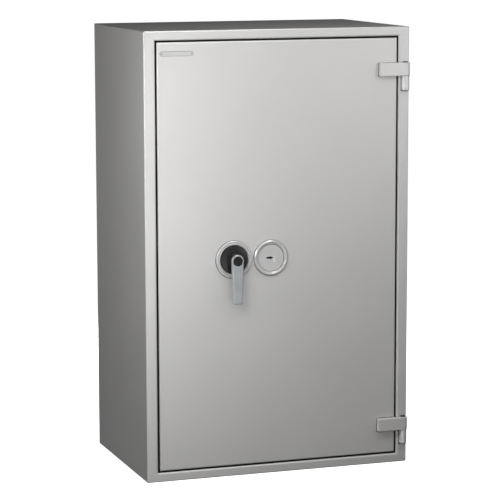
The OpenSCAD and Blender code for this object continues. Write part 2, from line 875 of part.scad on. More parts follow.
module bolt_screws() {
    head_r = 5.5;
    color(zinc) for (z = bolt_zs) {
        bar_in_x(bar_x - 14, bar_x + 6, bolt_d, z, 3.9);
        difference() {
            bar_in_x(bar_x + 6, bar_x + 10, bolt_d, z, head_r);
            bar_in_x(bar_x + 8, bar_x + 11, bolt_d, z, 2.5);
        }
    }
}

// The rod and bolt for the top; the bottom pair is its mirror image about the spindle's height
module end_rod(tip_z) {
    up = tip_z > control_z ? 1 : -1;
    pin_z = control_z + up * pin_start_r;
    near_z = pin_z - up * 6;
    far_z = tip_z - up * rod_end;
    difference() {
        union() {
            slab(handle_x - rod_half, handle_x + rod_half, link_d, link_d + link_t,
                 min(near_z, far_z), max(near_z, far_z));
            drive_pin(handle_x, pin_z);
        }
        bar_in_depth(handle_x, far_z - up * rod_lap / 2, link_d - far, link_d + link_t + far, 3);
    }
}

module end_bolt(tip_z) {
    up = tip_z > control_z ? 1 : -1;
    root_z = tip_z - up * (rod_end + rod_lap);
    lap_z = tip_z - up * (rod_end - 0.2);
    screw_z = tip_z - up * (rod_end + rod_lap / 2);
    difference() {
        bar_in_z(handle_x, bolt_d, min(root_z, tip_z), max(root_z, tip_z), end_bolt_r);
        slab(handle_x - 2 * end_bolt_r, handle_x + 2 * end_bolt_r, 0, link_d + link_t,
             min(root_z - up * far, lap_z), max(root_z - up * far, lap_z));
    }
    bar_in_depth(handle_x, screw_z, link_d, link_d + link_t + far, 2.9);
    bar_in_depth(handle_x, screw_z, link_d - 2.5, link_d, 5);
}

module top_rod() { color(zinc) end_rod(case_z1); }
module top_bolt() { color(zinc) end_bolt(case_z1); }
module bottom_rod() { color(zinc) end_rod(case_z0); }
module bottom_bolt() { color(zinc) end_bolt(case_z0); }

// ---- one line per node ----
casing_side("left");  // casing_left
casing_right();
casing_side("top");  // casing_top
casing_bottom();
back_panel();
frame_side_member("left");  // frame_left
frame_side_member("right");  // frame_right
frame_side_member("top");  // frame_top
frame_side_member("bottom");  // frame_bottom
wall_insulation();
inner_liner();
bolt_cups();
frame_seal();
anchor_sleeves();
hinge_barrels();
hinge_pins();
hinge_washers();
shelf_rails();
shelf_clips();
shelves();
door_panel();
door_seal();
door_insulation();
door_base_plate();
drill_plate();
hinge_arm(arm_zs[1]);  // hinge_arm_upper
hinge_arm(arm_zs[0]);  // hinge_arm_lower
name_plate();
bolt_case();
bolt_guides();
rod_guides();
dog_bolts();
door_cover();
door_cover_board();
cover_screws();
spindle_bush();
handle_rosette();
key_rosette();
key_plate();
key_guide();
lock_case();
lock_cover();
lock_screws();
rotor_disc();
handle_lever();
hub_cap();
handle_spindle();
cam_disc();
cam_clip();
bolt_bar();
bolt_link();
side_bolts();
bolt_screws();
top_rod();
top_bolt();
bottom_rod();
bottom_bolt();
lock_core();
lock_bolt();
lock_levers();
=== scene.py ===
"""Looks of the safe: camera, studio, finer meshes and finishes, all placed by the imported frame."""
import json
import math

import bmesh
import bpy
from mathutils import Matrix, Vector


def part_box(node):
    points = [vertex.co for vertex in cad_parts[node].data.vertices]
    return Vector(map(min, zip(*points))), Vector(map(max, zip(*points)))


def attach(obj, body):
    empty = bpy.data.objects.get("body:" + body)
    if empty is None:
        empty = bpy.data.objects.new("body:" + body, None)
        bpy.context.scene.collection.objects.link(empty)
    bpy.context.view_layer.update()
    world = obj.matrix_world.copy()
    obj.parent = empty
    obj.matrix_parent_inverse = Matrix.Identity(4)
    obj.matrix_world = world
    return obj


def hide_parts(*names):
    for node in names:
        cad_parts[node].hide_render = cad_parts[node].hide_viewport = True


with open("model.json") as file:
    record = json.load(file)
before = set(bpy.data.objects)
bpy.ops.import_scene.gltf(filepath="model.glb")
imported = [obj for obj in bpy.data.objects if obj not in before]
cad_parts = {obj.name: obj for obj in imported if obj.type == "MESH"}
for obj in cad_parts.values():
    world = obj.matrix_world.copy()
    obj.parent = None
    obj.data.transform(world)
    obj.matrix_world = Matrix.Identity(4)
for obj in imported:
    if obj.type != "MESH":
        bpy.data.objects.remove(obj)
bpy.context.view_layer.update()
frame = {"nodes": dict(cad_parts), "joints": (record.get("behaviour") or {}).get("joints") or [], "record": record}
scene = bpy.context.scene
MM = 0.001

# ---------------------------------------------------------------- places taken from the frame
left_low, left_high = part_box("casing_left")
right_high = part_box("casing_right")[1]
top_low, top_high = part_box("casing_top")
leaf_low, leaf_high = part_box("door_panel")
seal_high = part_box("frame_seal")[1]
X0, X1 = left_low.x, right_high.x
Y0, Y1 = left_low.y, left_high.y
Z0, Z1 = left_low.z, left_high.z
FRAME_SIDE = left_high.x - left_low.x
FRAME_END = top_high.z - top_low.z
RECESS = seal_high.y - Y0
SHEET = 3 * MM          # thickness of the casing's sheet
CORNER_R = 3 * MM       # outer edges of the casing
LIP_R = 4.5 * MM        # edge of the frame round the door
TURN_R = 0.75 * MM      # edge of the frame's turned-in lip
RAW_R = 0.36 * MM       # cut edges at the back of the casing
SEAM = 0.12 * MM        # half the gap at the mitres
CAP_R = 6.2 * MM        # black cap over each hinge pin, also painted shade for the dark slit above the arm
CAP_H = 2.0 * MM
CAP_SPACE = 0.4 * MM    # room round that cap
POCKET_IN = 11 * MM     # the hinge pocket's reach from the pin towards the door
POCKET_DEPTH = 13 * MM  # and how deep it is
POCKET_WALL = 2 * MM
BARREL_SPACE = 0.2 * MM
ANCHOR_R = 7 * MM       # holes for the floor anchors
SLEEVE_R = 9 * MM
LEAF_HOLE_R = 12.1 * MM     # holes in the leaf behind the lever and the keyhole


def middle(node):
    low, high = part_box(node)
    return (low + high) / 2


HANDLE = middle("handle_rosette")
KEY = middle("key_rosette")
JOINT = {j["name"]: j for j in frame["joints"]}
HINGE = Vector(JOINT["door_swing"]["pos_m"])
ARMS = ("hinge_arm_upper", "hinge_arm_lower")

# ---------------------------------------------------------------- camera
CAM_YAW, CAM_PITCH, CAM_ROLL = 19.01, -8.44, -0.13
CAM_AT = Vector((-1.659, -4.818, 1.236))
CAM_LENS = 160.0


def make_camera():
    yaw, pitch, roll = (math.radians(a) for a in (CAM_YAW, CAM_PITCH, CAM_ROLL))
    ahead = Vector((math.sin(yaw) * math.cos(pitch), math.cos(yaw) * math.cos(pitch), math.sin(pitch)))
    right = ahead.cross(Vector((0, 0, 1))).normalized()
    up = right.cross(ahead)
    right = math.cos(roll) * right + math.sin(roll) * up
    up = right.cross(ahead)
    data = bpy.data.cameras.new("camera")
    data.sensor_width = 36
    data.lens = CAM_LENS
    data.clip_start, data.clip_end = 0.05, 200
    cam = bpy.data.objects.new("camera", data)
    scene.collection.objects.link(cam)
    cam.matrix_world = Matrix((
        (right.x, up.x, -ahead.x, CAM_AT.x),
        (right.y, up.y, -ahead.y, CAM_AT.y),
        (right.z, up.z, -ahead.z, CAM_AT.z),
        (0, 0, 0, 1),
    ))
    scene.camera = cam


make_camera()
scene.view_settings.view_transform = "Standard"
scene.view_settings.look = "None"


# ---------------------------------------------------------------- materials
MIXED = 2               # a Mix node's colour output
LENGTH = DOT = 1        # a Vector Math node's number output
GENERATED, OBJECT = 0, 3    # Texture Coordinate outputs


def add(nt, kind, *, out=0, **values):
    """Adds a node of that kind and returns one of its outputs. Values name its properties, or its inputs by
    name, or by number as i0 and i1."""
    n = nt.nodes.new("ShaderNode" + kind)
    for key, value in values.items():
        if key[0] == "i" and key[1:].isdigit():
            socket = n.inputs[int(key[1:])]
        elif hasattr(n, key) and key not in n.inputs:
            setattr(n, key, value)
            continue
        else:
            socket = n.inputs[key.replace("_", " ")]
        if isinstance(value, bpy.types.NodeSocket):
            nt.links.new(value, socket)
        else:
            socket.default_value = value
    return n.outputs[out]


def shader(name, base, metallic, rough, specular=0.5):
    m = bpy.data.materials.new(name)
    m.use_nodes = True
    m.diffuse_color = (*base, 1)
    m.metallic, m.roughness = metallic, rough
    nt = m.node_tree
    nt.nodes.clear()
    bsdf = nt.nodes.new("ShaderNodeBsdfPrincipled")
    bsdf.inputs["Base Color"].default_value = (*base, 1)
    bsdf.inputs["Metallic"].default_value = metallic
    bsdf.inputs["Roughness"].default_value = rough
    bsdf.inputs["Specular IOR Level"].default_value = specular
    nt.links.new(bsdf.outputs[0], nt.nodes.new("ShaderNodeOutputMaterial").inputs[0])
    return m, nt, bsdf


def noise(nt, where, scale, detail=2.0, rough=0.5, stretch=None):
    """Noise at the place where, drawn out where stretch is small."""
    if stretch:
        where = add(nt, "Mapping", Vector=where, Scale=stretch)
    return add(nt, "TexNoise", Vector=where, Scale=scale, Detail=detail, Roughness=rough)


def spread(nt, value, low, high, from_low=0.3, from_high=0.7):
    """The value's range from_low to from_high, mapped to low to high."""
    return add(nt, "MapRange", Value=value, From_Min=from_low, From_Max=from_high, To_Min=low, To_Max=high)


def tint(nt, value, dark, light):
    return add(nt, "Mix", out=MIXED, data_type="RGBA", i0=value, i6=(*dark, 1), i7=(*light, 1))


def relief(nt, height, depth, normal=None):
    more = {"Normal": normal} if normal else {}
    return add(nt, "Bump", Height=height, Distance=depth, Strength=1.0, **more)


def shade(colour, k):
    """The colour made k times as light."""
    return tuple(min(1.0, c * k) for c in colour)


def powder_coat(name, base, rough, metallic, peel=0.00005, cell=330.0):
    """Sprayed coat: orange peel, a little cloudiness in tone and gloss, and a finer grain on top."""
    m, nt, bsdf = shader(name, base, metallic, rough)
    at = add(nt, "TexCoord", out=OBJECT)
    cloud = noise(nt, at, 3.1, 3.0, 0.6)
    grain = noise(nt, at, 2600.0, 1.0)
    tone = add(nt, "Math", operation="MULTIPLY_ADD", i0=grain, i1=0.35, i2=cloud)
    tone = spread(nt, tone, 0.0, 1.0, 0.45, 0.9)
    nt.links.new(tint(nt, tone, shade(base, 0.975), shade(base, 1.025)), bsdf.inputs["Base Color"])
    gloss = noise(nt, at, 7.0, 4.0, 0.65)
    nt.links.new(spread(nt, gloss, rough - 0.03, rough + 0.04), bsdf.inputs["Roughness"])
    orange = relief(nt, noise(nt, at, cell, 1.5, 0.45), peel)
    fine = relief(nt, grain, peel * 0.16, normal=orange)
    nt.links.new(fine, bsdf.inputs["Normal"])
    return m


def turned(name, base, rough, centre, pitch=1500.0, depth=0.000012, metallic=1.0, glint_spot=None):
    """Metal turned or spun about an axis along Y through centre: fine rings round it. A glint spot, given as
    ((x, z) from the centre, (half width, half height)), is painted lighter and smoother: a painted highlight."""
    m, nt, bsdf = shader(name, base, metallic, rough)
    at = add(nt, "TexCoord", out=OBJECT)
    from_axis = add(nt, "VectorMath", operation="SUBTRACT", i0=at, i1=tuple(centre))
    flat = add(nt, "VectorMath", operation="MULTIPLY", i0=from_axis, i1=(1, 0, 1))
    radius = add(nt, "VectorMath", operation="LENGTH", out=LENGTH, i0=flat)
    rings = add(nt, "TexNoise", noise_dimensions="1D", W=radius, Scale=pitch, Detail=3.0)
    smear = noise(nt, at, 60.0, 3.0, 0.6)
    tone = tint(nt, spread(nt, smear, 0.0, 1.0), shade(base, 0.95), shade(base, 1.04))
    gloss = spread(nt, rings, rough - 0.05, rough + 0.07)
    if glint_spot:
        (x, z), (w, h) = glint_spot
        spot = add(nt, "VectorMath", operation="SUBTRACT", i0=flat, i1=(x, 0, z))
        spot = add(nt, "VectorMath", operation="MULTIPLY", i0=spot, i1=(1 / w, 0, 1 / h))
        reach = add(nt, "VectorMath", operation="LENGTH", out=LENGTH, i0=spot)
        reach = add(nt, "Math", operation="MULTIPLY_ADD", i0=noise(nt, at, 480.0, 3.0, 0.6), i1=0.9, i2=reach)
        glint_mask = spread(nt, reach, 1.0, 0.0, 1.0, 1.6)
        # painted highlight: the spot's colour made half again as light
        tone = add(nt, "Mix", out=MIXED, data_type="RGBA", i0=glint_mask, i6=tone, i7=(*shade(base, 1.5), 1))
        gloss = spread(nt, glint_mask, gloss, rough - 0.14, 0.0, 1.0)
    nt.links.new(tone, bsdf.inputs["Base Color"])
    nt.links.new(gloss, bsdf.inputs["Roughness"])
    grain = relief(nt, noise(nt, at, 1900.0, 1.0), depth * 0.5)
    nt.links.new(relief(nt, rings, depth, normal=grain), bsdf.inputs["Normal"])
    return m


def plated(name, base, rough, cloud=0.10, metallic=1.0, stretch=(1, 1, 1), depth=0.00002):
    """Plated or drawn metal: cloudy tone, uneven gloss and fine drawing marks along stretch's short axis."""
    m, nt, bsdf = shader(name, base, metallic, rough)
    at = add(nt, "TexCoord", out=OBJECT)
    patch = add(nt, "TexVoronoi", feature="SMOOTH_F1", Vector=at, Scale=46.0, Smoothness=0.6, Randomness=1.0)
    mist = add(nt, "Math", operation="MULTIPLY_ADD", i0=noise(nt, at, 17.0, 4.0, 0.6), i1=1.4, i2=patch)
    mist = spread(nt, mist, 0.0, 1.0, 0.7, 1.5)
    tone = tint(nt, mist, shade(base, 1 - cloud), shade(base, 1 + cloud * 0.6))
    nt.links.new(tone, bsdf.inputs["Base Color"])
    nt.links.new(spread(nt, mist, rough - 0.05, rough + 0.08, 0.0, 1.0), bsdf.inputs["Roughness"])
    drawn = noise(nt, at, 520.0, 3.0, 0.55, stretch)
    nt.links.new(relief(nt, drawn, depth), bsdf.inputs["Normal"])
    return m


def moulded(name, base, rough, depth=0.00002, cell=900.0):
    """Moulded plastic or rubber: fine texture and slight handling marks in the gloss."""
    m, nt, bsdf = shader(name, base, 0.0, rough)
    at = add(nt, "TexCoord", out=OBJECT)
    wipe = noise(nt, at, 35.0, 5.0, 0.65)
    nt.links.new(spread(nt, wipe, rough - 0.05, rough + 0.10), bsdf.inputs["Roughness"])
    tone = tint(nt, spread(nt, wipe, 0, 1), shade(base, 0.8), shade(base, 1.3))
    nt.links.new(tone, bsdf.inputs["Base Color"])
    nt.links.new(relief(nt, noise(nt, at, cell, 2.0), depth), bsdf.inputs["Normal"])
    return m


def cast_filler(name, base):
    """Poured insulation: grainy, with small pores."""
    m, nt, bsdf = shader(name, base, 0.0, 0.9, specular=0.2)
    at = add(nt, "TexCoord", out=OBJECT)
    grain = noise(nt, at, 240.0, 6.0, 0.7)
    pores = add(nt, "TexVoronoi", Vector=at, Scale=320.0)
    tone = tint(nt, spread(nt, grain, 0, 1), shade(base, 0.82), base)
    nt.links.new(tone, bsdf.inputs["Base Color"])
    pitted = relief(nt, spread(nt, pores, 0, 1, 0.0, 0.25), 0.0006)
    nt.links.new(relief(nt, grain, 0.0004, normal=pitted), bsdf.inputs["Normal"])
    return m


PAINT = (0.56, 0.555, 0.545)
BOLT_STEEL = (0.68, 0.68, 0.69)
RING_METAL = (0.57, 0.565, 0.56)
GLOSS_BLACK = (0.010, 0.010, 0.011)
casing_paint = powder_coat("casing_paint", PAINT, 0.42, 0.30)
inner_paint = powder_coat("inner_paint", (0.50, 0.51, 0.51), 0.36, 0.0, 0.00004, 420.0)
zinc_plate = plated("zinc_plate", (0.60, 0.62, 0.64), 0.34)
drawn_x = plated("bolt_steel_drawn_x", BOLT_STEEL, 0.20, 0.04, stretch=(3.0, 0.12, 0.12), depth=0.00001)
drawn_z = plated("bolt_steel_drawn_z", BOLT_STEEL, 0.20, 0.04, stretch=(0.12, 0.12, 3.0), depth=0.00001)
brass = plated("brass", (0.66, 0.47, 0.20), 0.28, 0.08)
filler = cast_filler("filler", (0.62, 0.58, 0.50))
# black rubber of the door seals, its black also painted shade in the door gap; used too as painted shade in the
# hinge pockets, the pin caps and the thin rims under the arms, the rings and the name plate
seal_black = moulded("seal_black", (0.014, 0.014, 0.014), 0.75, 0.00008, 700.0)
# the hinge arms' paint: the casing paint made lighter, painted light for their brighter lit faces
arm_paint_painted_light = powder_coat("arm_paint_painted_light", shade(PAINT, 1.05), 0.42, 0.30)
# the hinge barrels' paint: the casing paint made lighter as a painted highlight, and glossier
barrel_paint_painted_highlight = powder_coat("barrel_paint_painted_highlight", shade(PAINT, 1.14), 0.36, 0.30)
ring_silver = turned("ring_silver", RING_METAL, 0.36, HANDLE, metallic=0.5)
key_silver = turned("key_silver", RING_METAL, 0.32, KEY, metallic=0.5)
# the lighter, smoother spot right of the keyhole is a painted highlight
disc_silver = turned("disc_silver", (0.60, 0.595, 0.59), 0.42, KEY, 2400.0, 0.00002, metallic=0.5,
                     glint_spot=((7.3 * MM, -3.0 * MM), (2.2 * MM, 8.0 * MM)))
lever_silver = plated("lever_silver", (0.435, 0.45, 0.465), 0.29, 0.06, metallic=0.5,
                      stretch=(1.0, 1.0, 0.15), depth=0.000012)
badge_silver = plated("badge_silver", (0.53, 0.53, 0.52), 0.40, 0.03, metallic=0.4,
                      stretch=(0.1, 1, 1), depth=0.00001)
lock_steel = plated("lock_steel", (0.10, 0.10, 0.10), 0.45, 0.10, metallic=0.6)
rotor_black = turned("rotor_black", GLOSS_BLACK, 0.30, HANDLE, 700.0, 0.000012, metallic=0.0)
cap_black = moulded("cap_black", GLOSS_BLACK, 0.30, 0.00001)

FINISH = {
    "casing_paint": casing_paint, "inner_paint": inner_paint, "zinc_plate": zinc_plate,
    "bolt_steel": drawn_x, "satin_silver": badge_silver, "black_gloss": cap_black,
    "seal_black": seal_black, "brass": brass, "filler": filler,
}


# ---------------------------------------------------------------- mesh helpers
def arc(cx, cy, r, a0, a1, n):
    """Points round (cx, cy) from angle a0 to a1, in degrees."""
    return [(cx + r * math.cos(math.radians(a0 + (a1 - a0) * i / n)),
             cy + r * math.sin(math.radians(a0 + (a1 - a0) * i / n))) for i in range(n + 1)]


def rounded(points, radii, n=6):
    """The closed outline with each corner rounded by its radius, in n steps."""
    out, count = [], len(points)
    for i, (p, r) in enumerate(zip(points, radii)):
        if r <= 0:
            out.append(tuple(p))
            continue
        p = Vector(p)
        a = (Vector(points[i - 1]) - p).normalized()
        b = (Vector(points[(i + 1) % count]) - p).normalized()
        half = math.acos(max(-1, min(1, a.dot(b)))) / 2
        if half > math.radians(89):
            out.append(tuple(p))
            continue
        cut = r / math.tan(half)
        centre = p + (a + b).normalized() * (r / math.sin(half))
        start, end = p + a * cut, p + b * cut
        va, vb = start - centre, end - centre
        turn = math.atan2(va.x * vb.y - va.y * vb.x, va.dot(vb))
        for k in range(n + 1):
            t = turn * k / n
            out.append((centre.x + va.x * math.cos(t) - va.y * math.sin(t),
                        centre.y + va.x * math.sin(t) + va.y * math.cos(t)))
    return out


def inset(outline, by):
    """The closed outline, counterclockwise, moved inwards by that much."""
    out, count = [], len(outline)
    for i in range(count):
        p0, p, p1 = (Vector(outline[j % count]) for j in (i - 1, i, i + 1))
        e0, e1 = (p - p0).normalized(), (p1 - p).normalized()
        n0, n1 = Vector((-e0.y, e0.x)), Vector((-e1.y, e1.x))
        m = (n0 + n1).normalized()
        out.append(tuple(p + m * (by / max(0.3, m.dot(n0)))))
    return out


def stack(bm, loops):
    """Joins closed loops of equally many points with quads, caps the ends and turns the faces outwards."""
    rows = [[bm.verts.new(p) for p in loop] for loop in loops]
    count = len(rows[0])
    for a, b in zip(rows, rows[1:]):
        for i in range(count):
            j = (i + 1) % count
            bm.faces.new((a[i], a[j], b[j], b[i]))
    bm.faces.new(rows[0][::-1])
    bm.faces.new(rows[-1])
    bmesh.ops.recalc_face_normals(bm, faces=bm.faces)


def front_slab(outline, y_back, y_front, r_front, r_back=0.0, n=5):
    """The outline, in (x, z), as a plate from y_back forward to y_front, its rims rounded."""
    loops = []
    for i in range(n if r_back > 0 else 0):
        t = math.radians(90 * i / n)
        y = y_back - r_back * (1 - math.cos(t))
        loops.append((inset(outline, r_back * (1 - math.sin(t))), y))
    loops.append((outline, y_back - r_back))
    loops.append((outline, y_front + r_front))
    for i in range(1, n + 1):
        t = math.radians(90 * i / n)
        loops.append((inset(outline, r_front * (1 - math.cos(t))), y_front + r_front * (1 - math.sin(t))))
    bm = bmesh.new()
    stack(bm, [[(x, y, z) for x, z in pts] for pts, y in loops])
    return bm


def up_slab(outline, z_low, z_high, r, n=5):
    """The outline, in (x, y), as a block from z_low to z_high, both rims rounded."""
    loops = []
    for i in range(n + 1):
        t = math.radians(90 * i / n)
        loops.append((inset(outline, r * (1 - math.sin(t))), z_low + r * (1 - math.cos(t))))
    for i in range(n + 1):
        t = math.radians(90 - 90 * i / n)
        loops.append((inset(outline, r * (1 - math.sin(t))), z_high - r * (1 - math.cos(t))))
    bm = bmesh.new()
    stack(bm, [[(x, y, z) for x, y in pts] for pts, z in loops])
    return bm


def lathe(profile, place, seg=128):
    """Turns the closed profile of (radius, height) round an axis. place(u, v, height) gives the point that is
    u and v off the axis."""
    bm = bmesh.new()
    rows = []
    angles = [2 * math.pi * i / seg for i in range(seg)]
    for r, h in profile:
        if r < 1e-7:
            rows.append([bm.verts.new(place(0, 0, h))])
        else:
            rows.append([bm.verts.new(place(r * math.cos(a), r * math.sin(a), h)) for a in angles])
    for a, b in zip(rows, rows[1:] + rows[:1]):
        if len(a) == 1 and len(b) == 1:
            continue
        for i in range(seg):
            j = (i + 1) % seg
            if len(a) == 1:
                bm.faces.new((a[0], b[j], b[i]))
            elif len(b) == 1:
                bm.faces.new((a[i], a[j], b[0]))
            else:
                bm.faces.new((a[i], a[j], b[j], b[i]))
    bmesh.ops.recalc_face_normals(bm, faces=bm.faces)
    return bm


def facing(centre, y_face):
    """Places a turned piece on the door: its height stands forward of y_face."""
    return lambda u, v, h: (centre.x + u, y_face - h, centre.z + v)


def upright(x, y):
    """Places a turned piece round the vertical line at x, y: its height is z."""
    return lambda u, v, h: (x + u, y + v, h)


def box_bm(low, high, bm=None):
    """A block between two corners, added to bm if it is given."""
    bm = bm or bmesh.new()
    made = bmesh.ops.create_cube(bm, size=1.0)["verts"]
    low, high = Vector(low), Vector(high)
    for v in made:
        v.co = (low + high) / 2 + Vector([c * s for c, s in zip(v.co, high - low)])
    return bm


def mesh_of(bm, name):
    me = bpy.data.meshes.new(name)
    bm.to_mesh(me)
    bm.free()
    return me


def loose(name, bm):
    o = bpy.data.objects.new(name, mesh_of(bm, name))
    scene.collection.objects.link(o)
    return o


def applied(o):
    """Bakes the object's modifiers into its mesh."""
    bpy.context.view_layer.update()
    shape = o.evaluated_get(bpy.context.evaluated_depsgraph_get())
    made = bpy.data.meshes.new_from_object(shape)
    o.modifiers.clear()
    o.data = made
    return o


def cut(o, bm):
    """Takes the shape bm out of the object."""
    tool = loose("cutter", bm)
    mod = o.modifiers.new("cut", "BOOLEAN")
    mod.operation, mod.solver, mod.object = "DIFFERENCE", "EXACT", tool
    applied(o)
    bpy.data.objects.remove(tool)


def soften(o, width):
    """Rounds the sharp edges, in a modifier."""
    mod = o.modifiers.new("edges", "BEVEL")
    mod.width, mod.segments, mod.limit_method = width, 3, "ANGLE"
    mod.angle_limit = math.radians(35)
    mod.use_clamp_overlap = True


def finish_piece(o, body, material, nodes=(), angle=32.0):
    """Smooths the piece, gives it its material, and ties it to the frame."""
    me = o.data
    me.shade_smooth()
    me.set_sharp_from_angle(angle=math.radians(angle))
    me.materials.clear()
    me.materials.append(material)
    mod = o.modifiers.new("normals", "WEIGHTED_NORMAL")
    mod.keep_sharp = True
    mod.weight = 80
    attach(o, body)
    if nodes:
        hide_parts(*nodes)


# ---------------------------------------------------------------- body
def shell_profile(w):
    """Corners of a casing member's section as (inwards, depth), for a frame of width w."""
    back = Y1 - Y0
    return [(0, back), (0, 0), (w, 0), (w, RECESS), (w - SHEET, RECESS), (w - SHEET, SHEET),
            (SHEET, SHEET), (SHEET, back)]


def casing_shell():
    """The folded body as one mesh, with its long edges rounded."""
    bm = bmesh.new()
    weight = bm.edges.layers.float.new("bevel_weight_edge")
    rings = []
    for (u, d), (v, _) in zip(shell_profile(FRAME_SIDE), shell_profile(FRAME_END)):
        y = Y0 + d
        rings.append([bm.verts.new(p) for p in
                      ((X0 + u, y, Z0 + v), (X1 - u, y, Z0 + v), (X1 - u, y, Z1 - v), (X0 + u, y, Z1 - v))])
    count = len(rings)
    for i in range(count):
        a, b = rings[i], rings[(i + 1) % count]
        for k in range(4):
            n = (k + 1) % 4
            bm.faces.new((a[k], a[n], b[n], b[k]))
    bmesh.ops.recalc_face_normals(bm, faces=bm.faces)

    def mark(a, b, radius):
        bm.edges.get((a, b))[weight] = radius / LIP_R

    for k in range(4):
        n = (k + 1) % 4
        mark(rings[1][k], rings[1][n], CORNER_R)
        mark(rings[2][k], rings[2][n], LIP_R)
        mark(rings[0][k], rings[1][k], CORNER_R)
        mark(rings[3][k], rings[3][n], TURN_R)
        mark(rings[0][k], rings[0][n], RAW_R)
        mark(rings[7][k], rings[7][n], RAW_R)
    o = loose("casing_shell", bm)
    mod = o.modifiers.new("round", "BEVEL")
    mod.width, mod.segments, mod.limit_method = LIP_R, 6, "WEIGHT"
    mod.use_clamp_overlap = False
    return applied(o)


def mitred(shell, name, planes):
    """A copy of the shell kept on the inner side of each plane, its cuts closed."""
    bm = bmesh.new()
    bm.from_mesh(shell.data)
    for at, along in planes:
        geom = list(bm.verts) + list(bm.edges) + list(bm.faces)
        made = bmesh.ops.bisect_plane(bm, geom=geom, dist=1e-7, plane_co=at, plane_no=along, clear_inner=True)
        rim = [e for e in made["geom_cut"] if isinstance(e, bmesh.types.BMEdge)]
        bmesh.ops.edgeloop_fill(bm, edges=rim)
    bmesh.ops.recalc_face_normals(bm, faces=bm.faces)
    return loose(name, bm)


def hinge_pocket(body, arm):
    """Cuts the room for one hinge out of the body, and lines it in black: painted shade for the dark slit at the
    arm.
    """
    low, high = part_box(arm)
    barrels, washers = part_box("hinge_barrels"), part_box("hinge_washers")
    x_in, y_in = HINGE.x - POCKET_IN, Y0 + POCKET_DEPTH
    z_in, z_out = low.z - 1.5 * MM, high.z + 0.3 * MM
    cut(body, box_bm((x_in, Y0 - 5 * MM, z_in), (X1 + 5 * MM, y_in, z_out)))
    r_cap, z_cap = CAP_R + CAP_SPACE, high.z + CAP_H + CAP_SPACE
    recess = [(0, high.z - MM), (r_cap, high.z - MM), (r_cap, z_cap), (0, z_cap)]
    cut(body, lathe(recess, upright(HINGE.x, HINGE.y), 72))
    # black walls and ceiling of the pocket: painted shade
    walls = bmesh.new()
    t, y_lip, x_lip = POCKET_WALL, Y0 + 2.5 * MM, X1 - 2.9 * MM
    box_bm((x_in - t, y_lip, z_in), (x_in, y_in + t, z_out), walls)
    box_bm((x_in, y_in, z_in), (X1 - MM, y_in + t, z_out), walls)
    box_bm((x_in - t, y_lip, z_out + CAP_H), (x_lip, y_in + t, z_out + CAP_H + t), walls)
    box_bm((x_in - t, y_lip, z_in - t), (x_lip, y_in + t, z_in), walls)
    finish_piece(loose("hinge_pocket" + arm[9:], walls), "cabinet", seal_black)
    r_groove = (barrels[1].x - barrels[0].x) / 2 + BARREL_SPACE
    z_foot = low.z - (washers[0].z - barrels[0].z) - MM
    z_groove = z_foot - 1.2 * MM
    groove = [(0, z_groove), (r_groove, z_groove), (r_groove, low.z), (0, low.z)]
    cut(body, lathe(groove, upright(HINGE.x - 0.8 * MM, HINGE.y), 72))


def make_casing():
    shell = casing_shell()
    s, e = FRAME_SIDE, FRAME_END
    diagonals = {
        "bottom_left": (Vector((X0, 0, Z0)), Vector((-e, 0, s)).normalized()),
        "top_left": (Vector((X0, 0, Z1)), Vector((e, 0, s)).normalized()),
        "bottom_right": (Vector((X1, 0, Z0)), Vector((e, 0, s)).normalized()),
        "top_right": (Vector((X1, 0, Z1)), Vector((-e, 0, s)).normalized()),
    }

    def plane(corner, side):
        at, n = diagonals[corner]
        n = n * side
        return at + n * SEAM, n

    left_half, right_half = (Vector(), Vector((-1, 0, 0))), (Vector(), Vector((1, 0, 0)))
    planes = {
        "left": ("body_side_left", plane("bottom_left", 1), plane("top_left", -1), left_half),
        "right": ("body_side_right", plane("bottom_right", 1), plane("top_right", -1), right_half),
        "top": ("body_top", plane("top_left", 1), plane("top_right", 1)),
        "bottom": ("body_bottom", plane("bottom_left", -1), plane("bottom_right", -1)),
    }
    made = {side: mitred(shell, name, cuts) for side, (name, *cuts) in planes.items()}
    bpy.data.objects.remove(shell)
    for arm in ARMS:
        hinge_pocket(made["right"], arm)
    low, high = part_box("anchor_sleeves")
    y_hole = (low.y + high.y) / 2
    anchor_hole = [(ANCHOR_R, -5 * MM), (ANCHOR_R, 8 * MM), (0, 8 * MM), (0, -5 * MM)]
    for x in (low.x + SLEEVE_R, high.x - SLEEVE_R):
        cut(made["bottom"], lathe(anchor_hole, upright(x, y_hole), 48))
    for side, o in made.items():
        finish_piece(o, "cabinet", casing_paint, ("casing_" + side,))


make_casing()


# ---------------------------------------------------------------- door leaf
def make_leaf():
    bm = box_bm(leaf_low, leaf_high)
    weight = bm.edges.layers.float.new("bevel_weight_edge")
    for e in bm.edges:
        ys = [v.co.y for v in e.verts]
        if max(ys) < leaf_low.y + MM:
            e[weight] = 1.0
        elif min(ys) > leaf_high.y - MM:
            e[weight] = 0.3
        else:
            e[weight] = 0.5
    o = loose("door_leaf", bm)
    mod = o.modifiers.new("round", "BEVEL")
    mod.width, mod.segments, mod.limit_method = 2.8 * MM, 5, "WEIGHT"
    applied(o)
    hole = [(LEAF_HOLE_R, -30 * MM), (LEAF_HOLE_R, 10 * MM), (0, 10 * MM), (0, -30 * MM)]
    for c in (HANDLE, KEY):
        cut(o, lathe(hole, facing(c, Y0), 64))
    finish_piece(o, "door", casing_paint, ("door_panel", "door_insulation", "drill_plate"))


make_leaf()


